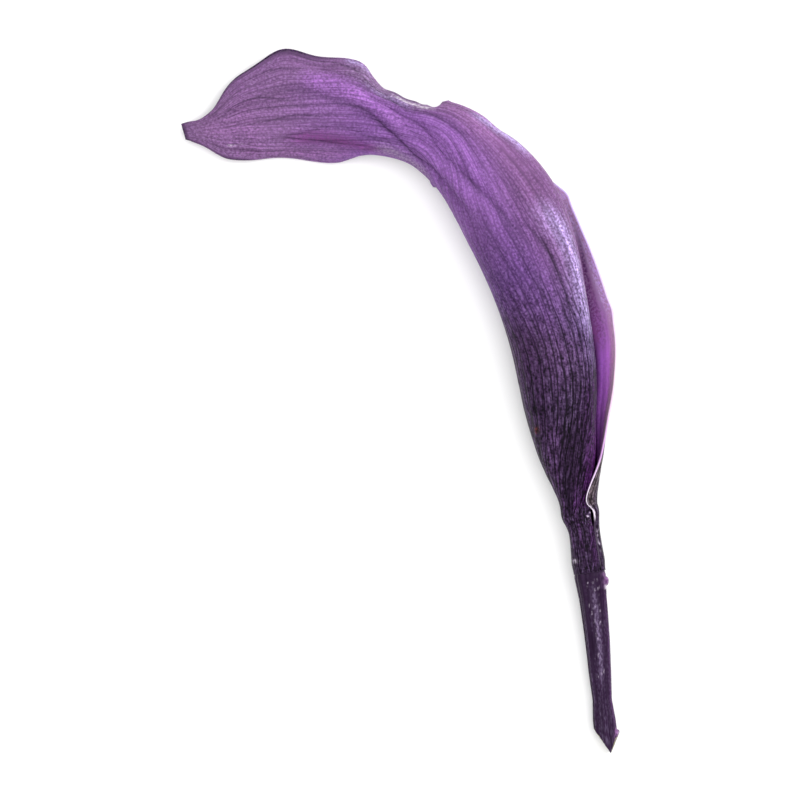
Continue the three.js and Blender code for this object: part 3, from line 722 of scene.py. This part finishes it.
def spathe_inner(sizes, colours):
    """Inner skin of the spathe: smooth satin leaf.

    The eye sees a deep violet in the throat that clears to pink near the margin, with faint fine veins,
    and light that comes through the leaf. The deep violet is painted shade, and the light that comes
    through is partly painted into the pinks.
    """
    material, tree, shader = new_material("satin spathe lining")
    place, across, along, shade = skin_places(tree)
    # The throat end of the ramp is painted shade in the crevice, and the glow, lining and petal are
    # lightened by painted light that comes through the leaf
    low = add(tree, "ShaderNodeValToRGB", {"Fac": across}, stops=colour_stops(colours, (
        (0.85, "throat"), (0.895, "throat"), (0.92, "glow"), (0.955, "lining"), (0.98, "petal"),
        (1.0, "cream")), 1))
    high = add(tree, "ShaderNodeValToRGB", {"Fac": across}, stops=colour_stops(colours, (
        (0.88, "dull"), (0.93, "rose"), (0.955, "blush"), (1.0, "petal")), 1))
    to_high = add(tree, "ShaderNodeMapRange", {"Value": along, "From Min": 6.6 / LAST,
                                               "From Max": 8 / LAST})
    ground = add(tree, "ShaderNodeMixRGB", {"Fac": to_high, "Color1": low, "Color2": high})
    along_tone = add(tree, "ShaderNodeValToRGB", {"Fac": along}, stops=grey_stops((
        (0, 0.45), (4, 0.65), (5.5, 0.9), (8, 1.0), (18, 1.0))))
    streaks = long_noise(tree, place, SPATHE_SKIN, LINING_VEINS, Detail=2.0)
    light = add(tree, "ShaderNodeMapRange", {"Value": streaks, "From Min": 0.3, "From Max": 0.7,
                                             "To Min": 0.78, "To Max": 1.0})
    light = add(tree, "ShaderNodeMath", {0: light, 1: along_tone}, operation="MULTIPLY")
    cells = even_noise(tree, sizes.cell, 2.0)
    speck = add(tree, "ShaderNodeMapRange", {"Value": cells, "From Min": 0.3, "From Max": 0.7,
                                             "To Min": 0.9, "To Max": 1.1})
    light = add(tree, "ShaderNodeMath", {0: light, 1: speck}, operation="MULTIPLY")
    light = add(tree, "ShaderNodeMath", {0: light, 1: shade, 2: light}, operation="MULTIPLY_ADD")
    cover = add(tree, "ShaderNodeMapRange", {"Value": cells, "From Min": 0.4, "From Max": 0.6,
                                             "To Min": 0.2, "To Max": 1.3})
    ground, _ = marked(tree, "lining marks", ground, cover)
    skin = add(tree, "ShaderNodeHueSaturation", {"Color": ground, "Value": light})
    bump = add(tree, "ShaderNodeBump", {"Height": cells, "Strength": 0.6, "Distance": 0.05 * MM})
    feed(tree, shader, {"Base Color": skin, "Normal": bump, "Roughness": 0.5,
                        "Specular IOR Level": 0.2, "Subsurface Weight": 0.5,
                        "Subsurface Radius": (1.0, 0.6, 1.1), "Subsurface Scale": 0.6 * MM})
    return material


def spathe_margin(colours):
    """Thin margin of the spathe: bare leaf edge, pale along the lip and the wrap and dark at the ends."""
    material, tree, shader = new_material("pale spathe margin")
    _, across, along, _ = skin_places(tree)
    near = add(tree, "ShaderNodeValToRGB", {"Fac": along}, stops=colour_stops(colours, (
        (0, "aubergine"), (5, "plum"), (8, "violet"), (12, "mauve"), (15.3, "mauve"), (15.9, "aubergine"),
        (18, "aubergine"))))
    # Between the cream and the rose the far margin takes painted sheen, a painted highlight
    far = add(tree, "ShaderNodeValToRGB", {"Fac": along}, stops=colour_stops(colours, (
        (0, "aubergine"), (1.5, "aubergine"), (1.9, "white"), (3.1, "white"), (4, "blush"), (6, "cream"),
        (9, "painted_sheen"), (13, "rose"), (16, "mauve"), (16.8, "aubergine"), (18, "aubergine"))))
    tone = add(tree, "ShaderNodeMixRGB", {"Fac": across, "Color1": near, "Color2": far})
    feed(tree, shader, {"Base Color": tone, "Roughness": 0.45})
    return material


def stem_skin(colours):
    """Skin of a calla flower stem: smooth waxy skin, as dark as aubergine.

    The eye sees a soft sheen broken by lengthwise streaks, and whitish specks on the ridges. The glints on
    the grain, the lit ridges and the specks are painted highlights.
    """
    material, tree, shader = new_material("waxy stem skin")
    place, _, along, _ = skin_places(tree)
    streaks = long_noise(tree, place, STEM_SKIN, STEM_STREAKS, Detail=3.0)
    streaks = add(tree, "ShaderNodeMapRange", {"Value": streaks, "From Min": 0.38, "From Max": 0.72})
    ground = add(tree, "ShaderNodeMixRGB", {"Fac": streaks, "Color1": (*colours.ink, 1),
                                            "Color2": (*colours.aubergine, 1)})
    grain = long_noise(tree, place, STEM_SKIN, STEM_GRAIN, Detail=2.0)
    grain = add(tree, "ShaderNodeMapRange", {"Value": grain, "From Min": 0.42, "From Max": 0.66})
    high = add(tree, "ShaderNodeMath", {0: grain, 1: streaks}, operation="MULTIPLY")
    # Painted glints on the tops of the grain, stronger towards the cut end
    glint_strength = add(tree, "ShaderNodeValToRGB", {"Fac": along}, stops=grey_stops((
        (0.0, 0.3), (0.2, 0.26), (0.3, 0.2), (0.5, 0.2), (0.8, 0.18)), 1))
    painted_glint = add(tree, "ShaderNodeMath", {0: high, 1: glint_strength}, operation="MULTIPLY")
    ground = add(tree, "ShaderNodeMixRGB", {"Fac": painted_glint, "Color1": ground, "Color2": (*colours.painted_glint, 1)})
    cover = add(tree, "ShaderNodeMapRange", {"Value": grain, "To Min": 0.25, "To Max": 1.2})
    skin, _ = marked(tree, "marks", ground, cover)
    bump = add(tree, "ShaderNodeBump", {"Height": high, "Strength": 0.8, "Distance": 0.15 * MM})
    feed(tree, shader, {"Base Color": skin, "Normal": bump, "Roughness": 0.4,
                        "Specular IOR Level": 0.08})
    return material


def cut_flesh(colours):
    """Cut flesh of the stem: moist pith, browned by the air and mottled by the ends of its vessels."""
    material, tree, shader = new_material("cut stem flesh")
    grain = even_noise(tree, VESSELS, 3.0)
    tone = add(tree, "ShaderNodeValToRGB", {"Fac": grain}, stops=colour_stops(colours, (
        (0.35, "bark"), (0.65, "pith")), 1))
    bump = add(tree, "ShaderNodeBump", {"Height": grain, "Strength": 0.8, "Distance": 0.2 * MM})
    feed(tree, shader, {"Base Color": tone, "Normal": bump, "Roughness": 0.4})
    return material


def floret_skin(colours):
    """Florets of the spadix: matt fleshy domes dusted with pollen, golden with darker joints."""
    material, tree, shader = new_material("pollen dusted florets")
    _, _, _, shade = skin_places(tree)
    dust = even_noise(tree, POLLEN, 3.0)
    tone = add(tree, "ShaderNodeMixRGB", {"Fac": shade, "Color1": (*colours.ochre, 1),
                                          "Color2": (*colours.gold, 1)})
    light = add(tree, "ShaderNodeMapRange", {"Value": dust, "From Min": 0.3, "From Max": 0.7,
                                             "To Min": 0.85, "To Max": 1.15})
    tone = add(tree, "ShaderNodeHueSaturation", {"Color": tone, "Value": light})
    bump = add(tree, "ShaderNodeBump", {"Height": dust, "Strength": 0.8, "Distance": 0.1 * MM})
    feed(tree, shader, {"Base Color": tone, "Normal": bump, "Roughness": 0.75})
    return material


def studio_paper():
    """Background paper: smooth matt white card, with a grain of fibres that hardly shows."""
    material, tree, shader = new_material("white background paper")
    grain = even_noise(tree, FIBRES, 2.0)
    bump = add(tree, "ShaderNodeBump", {"Height": grain, "Strength": 0.1, "Distance": 0.02 * MM})
    feed(tree, shader, {"Base Color": (0.92, 0.92, 0.92, 1), "Normal": bump, "Roughness": 0.9,
                        "Specular IOR Level": 0.1})
    return material


# Pieces

THIN_ACROSS = 0.04  # how far in from its sides the leaf is as thin as its margin, across
THIN_ALONG = 0.4  # and how far in from its tip, in stations
RING_THICKNESS = 0.25  # thickness at the ring, as a share of the leaf's
RING_RISE = 0.3  # station at which the leaf has its full thickness
RIM_BULGE = 0.7  # how far the rim stands out, as a share of half the thickness
NEAR_STEP = 0.004  # distance from an edge, across, over which the way out of the leaf is measured
END_STEP = 0.02  # and from an end, in stations
TINY = 1e-9  # keeps a length of nothing from being divided by


def away_from(inner, outer):
    """Unit directions from the inner points to the outer ones."""
    away = outer - inner
    return away / np.maximum(np.linalg.norm(away, axis=-1, keepdims=True), TINY)


def spathe_mesh(sizes, colours):
    """The spathe as a closed leaf over its stations, with its margins thinned and rounded."""
    grid = leaf_grid(sizes.rows, sizes.columns)
    mesh = mesh_from(grid, "spathe-leaf", (
        spathe_outer(sizes, colours), spathe_inner(sizes, colours), spathe_margin(colours)))
    places = grid_places(mesh)
    across = places[:, 0]
    station = places[:, 1] * LAST
    skin = -places[:, 2] / SKIN_GAP
    middle = folded(station, across)
    normal = normals(folded, station, across)
    inside = np.minimum(np.minimum(across, 1 - across) / THIN_ACROSS, (LAST - station) / THIN_ALONG)
    half = lerp(sizes.margin, sizes.blade, smoothstep(inside, 0, 1)) / MM / 2
    half = half * lerp(RING_THICKNESS, 1, smoothstep(station, 0, RING_RISE))
    outward = np.zeros_like(middle)
    for edge in (0, 1):
        reached = np.abs(across - edge) < NEAR_STEP
        inner = folded(station, np.full_like(across, abs(edge - NEAR_STEP)))
        outward = outward + away_from(inner, middle) * reached[:, None]
    for end in (0, LAST):
        reached = np.abs(station - end) < NEAR_STEP
        inner = folded(np.full_like(station, abs(end - END_STEP)), across)
        outward = outward + away_from(inner, middle) * reached[:, None]
    # The rim's middle ring lies halfway between the skins and stands out from the edge
    rim = np.abs(skin - 0.5) < 0.25
    offset = normal * (half * (1 - 2 * skin))[:, None]
    offset[rim] = (outward * half[:, None] * RIM_BULGE)[rim]
    points = middle + offset
    # The leaf is lifted where it would sink into the surface that it lies on
    deepest = middle[:, 2] - np.abs(normal[:, 2]) * half
    points[:, 2] = points[:, 2] + np.maximum(0, -deepest)
    points[:, 2] = np.maximum(points[:, 2], 0)
    # The folds' painted shade and light, which the materials multiply into the skin
    shade = np.zeros_like(station)
    for folds in (FOLDS, CREASES):
        for share, _, tone in fold_shares(folds, station, across):
            shade = shade + share * tone
    place_mesh(mesh, points)
    write_attribute(mesh, "place", "FLOAT_VECTOR", np.column_stack([across, station / LAST, shade]))
    rng = np.random.default_rng(sizes.speck_seed)
    dry = {}
    for line in SLIT_SPECKS:
        dry |= specks(rng, sizes.slit_specks, *line)
    dry |= specks(rng, sizes.edge_glints, *EDGE_GLINTS)
    write_attribute(mesh, "marks", "FLOAT_COLOR", painted(MARKS | dry, colours, station, across))
    write_attribute(mesh, "lining marks", "FLOAT_COLOR", painted(LINING_MARKS, colours, station, across))
    return mesh


def specks(rng, count, reach, line, length, width):
    """Pale specks at random along a line, which are painted glints, as marks that are named by where they
    start.
    """
    found = {}
    for _ in range(count):
        start = rng.uniform(*reach)
        side = rng.normal(*line)
        end = start + length * rng.uniform(*SPECK_LENGTHS)
        half_width = width * rng.uniform(*SPECK_WIDTHS)
        cover = rng.uniform(*SPECK_COVERS)
        found[start] = (((start, side), (end, side)), half_width, cover, "scar")
    return found


def rod_points(mesh, stations, swell, cut, full=np.zeros_like):
    """Points of a rod along its stations, with upright sections, and where each lies on it.

    swell adds to the radius at a way along and an angle, cut moves the first end out at a side, and full
    is how much fuller than round the upper half is at a way along.
    """
    places = grid_places(mesh)
    middles = np.array([middle for middle, _ in stations.values()])
    radii = np.array([radius for _, radius in stations.values()])
    reach = np.concatenate([[0], np.cumsum(np.linalg.norm(np.diff(middles, axis=0), axis=1))])
    line = track(reach, middles)
    way = places[:, 2] * reach[-1]
    along = (line(np.minimum(way + WAY_STEP, reach[-1])) - line(np.maximum(way - WAY_STEP, 0)))[:, :2]
    along = along / np.linalg.norm(along, axis=-1, keepdims=True)
    angle = np.arctan2(places[:, 1], places[:, 0])
    centre_share = np.hypot(places[:, 0], places[:, 1])
    size = (np.interp(way, reach, radii) + swell(way, angle)) * centre_share
    points = line(way)
    side = np.cos(angle) * size
    first = np.maximum(0, 1 - way / reach[1])
    back = cut(np.cos(angle) * centre_share) * first
    points[:, 0] += along[:, 1] * side - along[:, 0] * back
    points[:, 1] += -along[:, 0] * side - along[:, 1] * back
    upper = np.where(angle > 0, 1, FLAT_BELLY / FLAT_TOP)
    points[:, 2] += np.sin(angle) * size * (1 + full(way) * upper * np.cos(angle) ** 2)
    return points, way, angle


def stem_mesh(sizes, colours):
    """The stem with its ribs, its pared cut end and the pale specks on its ridges, which are painted
    glints.
    """
    grid = rod_grid(sizes.stem_rows, sizes.stem_sides, CAP_RINGS)
    # The faces of both ends are flesh, and only those of the cut show
    for face in grid.faces:
        face.material_index = 1 if abs(face.normal.z) > 0.9 else 0
    mesh = mesh_from(grid, "stem-skin", (stem_skin(colours), cut_flesh(colours)))

    def swell(way, angle):
        twisted = angle + TWIST * way
        ribs = sum(height * np.cos(count * twisted + turn) for count, height, turn in STEM_RIBS)
        beads = sum(height * dome(way - at, (angle - 2 * np.pi * turn) * STEM_GIRTH, radius)
                    for at, turn, radius, height in BEADS.values())
        return ribs - RIB_SINK + beads

    def cut(side):
        return np.interp(side, *zip(*CUT_CORNERS))

    def full(way):
        return FLAT_TOP * smoothstep(way, *FLATTENING)

    points, way, angle = rod_points(mesh, STEM, swell, cut, full)
    points[:, 2] = np.maximum(points[:, 2], 0)
    place_mesh(mesh, points)
    around = angle / (2 * np.pi)
    write_attribute(mesh, "place", "FLOAT_VECTOR",
                    np.column_stack([around, way / STEM_LENGTH, np.zeros_like(way)]))
    dry = specks(np.random.default_rng(sizes.speck_seed), sizes.specks, *STEM_SPECKS)
    write_attribute(mesh, "marks", "FLOAT_COLOR", painted(STEM_MARKS | dry, colours, way, around))
    return mesh


def spadix_mesh(sizes, colours):
    """The spadix with its florets, in rings that are each turned half a floret from the last."""
    grid = rod_grid(sizes.spadix_rows, sizes.spadix_sides, CAP_RINGS)
    mesh = mesh_from(grid, "spadix-florets", (floret_skin(colours),))

    def floret(way, angle):
        ring = way / SPADIX_LENGTH * sizes.florets_along
        turned = (np.floor(ring) % 2) * np.pi
        around = 0.5 + 0.5 * np.cos(sizes.florets_around * angle + turned)
        return np.sqrt(np.abs(np.sin(ring * np.pi)) * around)

    def swell(way, angle):
        return FLORET_HEIGHT * floret(way, angle)

    points, way, angle = rod_points(mesh, SPADIX, swell, np.zeros_like)
    place_mesh(mesh, points)
    write_attribute(mesh, "place", "FLOAT_VECTOR",
                    np.column_stack([angle / (2 * np.pi), way / SPADIX_LENGTH, floret(way, angle)]))
    return mesh


# Settings

class CallaSizes(bpy.types.PropertyGroup):
    """Sizes of the flower's finer parts and of its stage."""
    blade: FloatProperty(name="Blade thickness", description="Thickness of the spathe inside its margins",
                         default=0.7 * MM, unit="LENGTH", precision=5)
    margin: FloatProperty(name="Margin thickness", description="Thickness of the spathe at its margins",
                          default=0.4 * MM, unit="LENGTH", precision=5)
    rows: IntProperty(name="Rows", description="Steps along the spathe", default=300, min=60)
    columns: IntProperty(name="Columns", description="Steps across the spathe", default=156, min=40)
    veins: FloatProperty(name="Veins", description="Main veins across the spathe", default=32.0)
    cell: FloatProperty(name="Cell", description="Size of the skin's grain", default=0.48 * MM,
                        unit="LENGTH", precision=5)
    stem_rows: IntProperty(name="Stem rows", description="Steps along the stem", default=240, min=20)
    stem_sides: IntProperty(name="Stem sides", description="Steps round the stem", default=96, min=12)
    # The specks, the slit specks and the edge glints are painted glints
    specks: IntProperty(name="Specks", description="Dry specks along the stem's ridge", default=44, min=0)
    slit_specks: IntProperty(name="Slit specks", description="Dry specks where the spathe closes",
                             default=16, min=0)
    edge_glints: IntProperty(name="Edge glints", description="Pale specks on the margin at the neck",
                             default=24, min=0)
    speck_seed: IntProperty(name="Speck seed", description="Where the specks fall", default=5)
    spadix_rows: IntProperty(name="Spadix rows", description="Steps along the spadix", default=280, min=40)
    spadix_sides: IntProperty(name="Spadix sides", description="Steps round the spadix", default=96, min=12)
    florets_around: IntProperty(name="Florets around", description="Florets in a ring", default=12, min=3)
    florets_along: IntProperty(name="Florets along", description="Rings of florets", default=36, min=3)
    floor: FloatProperty(name="Floor", description="Width of the floor", default=3.0, unit="LENGTH")
    view: FloatProperty(name="View", description="Width of the floor that the camera takes in",
                        default=0.16, unit="LENGTH")
    lens: FloatProperty(name="Lens", description="Focal length of the camera in millimetres",
                        default=250.0, unit="CAMERA")
    top: FloatProperty(name="Top light", description="Power of the light overhead", default=7.5,
                       unit="POWER")
    key: FloatProperty(name="Key light", description="Power of the light at the side", default=2.05,
                       unit="POWER")
    air: FloatProperty(name="Air light", description="Brightness of the light from all round", default=0.7)


class CallaColours(bpy.types.PropertyGroup):
    """Colours of the flower."""
    ink: tint("Ink", "Darkest skin of the stem", "#1f0c26")
    wine: tint("Wine", "Purple skin at the side of the stem and the lip", "#4f1c5e")
    # Painted highlight on the stem's ridges
    ridge_highlight: tint("Ridge highlight", "Ridges of the stem that catch the light", "#6b5a78")
    aubergine: tint("Aubergine", "Skin round the stem", "#2b1433")
    plum: tint("Plum", "Skin above the throat", "#33203e")
    dusk: tint("Dusk", "Skin of the belly", "#52365f")
    # Painted glint: the colour of the lightened tops of the grain
    painted_glint: tint("Painted glint", "Tops of the skin's grain, which catch the light", "#8f80a2")
    violet: tint("Violet", "Skin between the belly and the shoulder", "#6c4687")
    orchid: tint("Orchid", "Skin of the bend and the neck", "#8c5ea5")
    lilac: tint("Lilac", "Lightest skin of the neck and the limb", "#a06cb8")
    mauve: tint("Mauve", "Dull skin by the near margin and of the limb", "#886294")
    slate: tint("Slate", "Greyed skin of the flank", "#654e7d")
    dull: tint("Dull", "Dull skin over the shoulder", "#80588a")
    rose: tint("Rose", "Pinkish skin of the margins, and the sap", "#9a6ca3")
    # Painted sheen: a pale colour laid where light would glance off the wax, a painted highlight
    painted_sheen: tint("Painted sheen", "Wax bloom where light glances off", "#b7a0d8")
    magenta: tint("Magenta", "Shadow under the flap of the limb", "#7b3d80")
    ash: tint("Ash", "Grey skin under the neck", "#9b80a8")
    # Throat is painted shade: the dark of the crevice deep in the tube and where the near wall rolls under
    throat: tint("Throat", "Skin deep in the tube and beside it", "#391545")
    # Glow, petal and lining are the inner skin's own violet and pinks, lightened by painted light that
    # comes through the leaf
    glow: tint("Glow", "Inner skin above the throat, where light comes through", "#b267d2")
    petal: tint("Petal", "Palest inner skin, near the bare margin", "#e0a8da")
    # Painted sheen on the inner skin, a painted highlight
    painted_lining_sheen: tint("Lining sheen", "Wax bloom on the inner skin", "#e4c0f6")
    blush: tint("Blush", "Inner skin beside the shoulder", "#b586bf")
    lining: tint("Lining", "Inner skin between the glow and the margin", "#c87ade")
    cream: tint("Cream", "Bare edge of the leaf", "#d8bfcf")
    bark: tint("Bark", "Browned skin at the wrap and the cut", "#66595d")
    rust: tint("Rust", "A rust spot", "#703410")
    # Scar is also the colour of the pale specks, which are painted glints
    scar: tint("Scar", "Dry scars and specks", "#c9b9cf")
    # White is also the paint of the glints and of the bright sliver, which are painted highlights
    white: tint("White", "Bare edge of the lip", "#e2d4e6")
    pith: tint("Pith", "Pith of the cut stem", "#8d8a6a")
    gold: tint("Gold", "Tops of the florets", "#e0a92a")
    ochre: tint("Ochre", "Joints between the florets", "#a8741c")


# Operators

def settings(context):
    """The flower's sizes and its colours."""
    return context.scene.calla_sizes, context.scene.calla_colours


class CALLA_OT_spathe(bpy.types.Operator):
    """Build the spathe"""
    bl_idname = "calla.spathe"
    bl_label = "Spathe"

    def execute(self, context):
        add_piece(spathe_mesh(*settings(context)), "spathe")
        return {"FINISHED"}


class CALLA_OT_stem(bpy.types.Operator):
    """Build the stem"""
    bl_idname = "calla.stem"
    bl_label = "Stem"

    def execute(self, context):
        add_piece(stem_mesh(*settings(context)), "stem")
        return {"FINISHED"}


class CALLA_OT_spadix(bpy.types.Operator):
    """Build the spadix"""
    bl_idname = "calla.spadix"
    bl_label = "Spadix"

    def execute(self, context):
        add_piece(spadix_mesh(*settings(context)), "spadix")
        return {"FINISHED"}


TOP_LIGHT = ((0.06, 0.0, 0.9), 1.0)  # place and width of the light overhead, m
KEY_LIGHT = ((0.4, 0.24, 0.36), 0.3)  # and of the one at the side
FLOOR_GAP = 0.05 * MM  # how far the floor lies under the flower, so that their faces don't meet
MIDDLE_HEIGHT = 7.5 * MM  # height that the camera's width of view is measured at
SENSOR_WIDTH = 36  # width of the camera's film, mm
CLIP_END = 10  # how far the camera sees, m


def area_light(name, place, size, power):
    """A square soft light at a place, which faces the flower."""
    light = bpy.data.lights.new(name, "AREA")
    light.size = size
    light.energy = power
    lamp = bpy.data.objects.new(name, light)
    lamp.location = place
    lamp.rotation_euler = (-lamp.location).to_track_quat("-Z", "Y").to_euler()
    bpy.context.scene.collection.objects.link(lamp)


class CALLA_OT_stage(bpy.types.Operator):
    """Build the floor, the lights and the camera"""
    bl_idname = "calla.stage"
    bl_label = "Stage"

    def execute(self, context):
        sizes, _ = settings(context)
        sheet = bmesh.new()
        bmesh.ops.create_grid(sheet, x_segments=1, y_segments=1, size=sizes.floor / 2)
        bmesh.ops.translate(sheet, vec=(0, 0, -FLOOR_GAP), verts=sheet.verts[:])
        mesh = bpy.data.meshes.new("floor")
        sheet.to_mesh(mesh)
        sheet.free()
        mesh.materials.append(studio_paper())
        floor = bpy.data.objects.new("floor", mesh)
        context.scene.collection.objects.link(floor)
        area_light("top light", *TOP_LIGHT, sizes.top)
        area_light("key light", *KEY_LIGHT, sizes.key)
        world = bpy.data.worlds.new("air")
        world.use_nodes = True
        air = world.node_tree.nodes["Background"]
        air.inputs["Color"].default_value = (1, 1, 1, 1)
        air.inputs["Strength"].default_value = sizes.air
        context.scene.world = world
        context.scene.view_settings.view_transform = "Standard"
        camera = bpy.data.cameras.new("camera")
        camera.lens = sizes.lens
        camera.sensor_width = SENSOR_WIDTH
        camera.clip_end = CLIP_END
        eye = bpy.data.objects.new("camera", camera)
        distance = sizes.view * camera.lens / camera.sensor_width
        x, y = -FLOWER_MIDDLE[0] * MM, -FLOWER_MIDDLE[1] * MM
        eye.location = (x, y, MIDDLE_HEIGHT + distance)
        context.scene.collection.objects.link(eye)
        context.scene.camera = eye
        return {"FINISHED"}


class CALLA_PT_panel(bpy.types.Panel):
    """Lists the pieces of the flower"""
    bl_idname = "CALLA_PT_panel"
    bl_label = "Calla Lily Flower"
    bl_space_type = "VIEW_3D"
    bl_region_type = "UI"
    bl_category = "Calla"

    def draw(self, context):
        for operator in OPERATORS:
            self.layout.operator(operator.bl_idname)
        for group in settings(context):
            box = self.layout.box()
            for name in group.__annotations__:
                box.prop(group, name)


OPERATORS = (CALLA_OT_stem, CALLA_OT_spadix, CALLA_OT_spathe, CALLA_OT_stage)
CLASSES = (CallaSizes, CallaColours, *OPERATORS, CALLA_PT_panel)


def register():
    """Adds the settings, the operators and the panel to Blender."""
    for each in CLASSES:
        bpy.utils.register_class(each)
    bpy.types.Scene.calla_sizes = PointerProperty(type=CallaSizes)
    bpy.types.Scene.calla_colours = PointerProperty(type=CallaColours)


def unregister():
    """Takes them out again."""
    del bpy.types.Scene.calla_sizes
    del bpy.types.Scene.calla_colours
    for each in reversed(CLASSES):
        bpy.utils.unregister_class(each)


def main():
    """Builds the flower and its stage."""
    register()
    bpy.ops.calla.stem()
    bpy.ops.calla.spadix()
    bpy.ops.calla.spathe()
    bpy.ops.calla.stage()


if __name__ == "__main__":
    main()
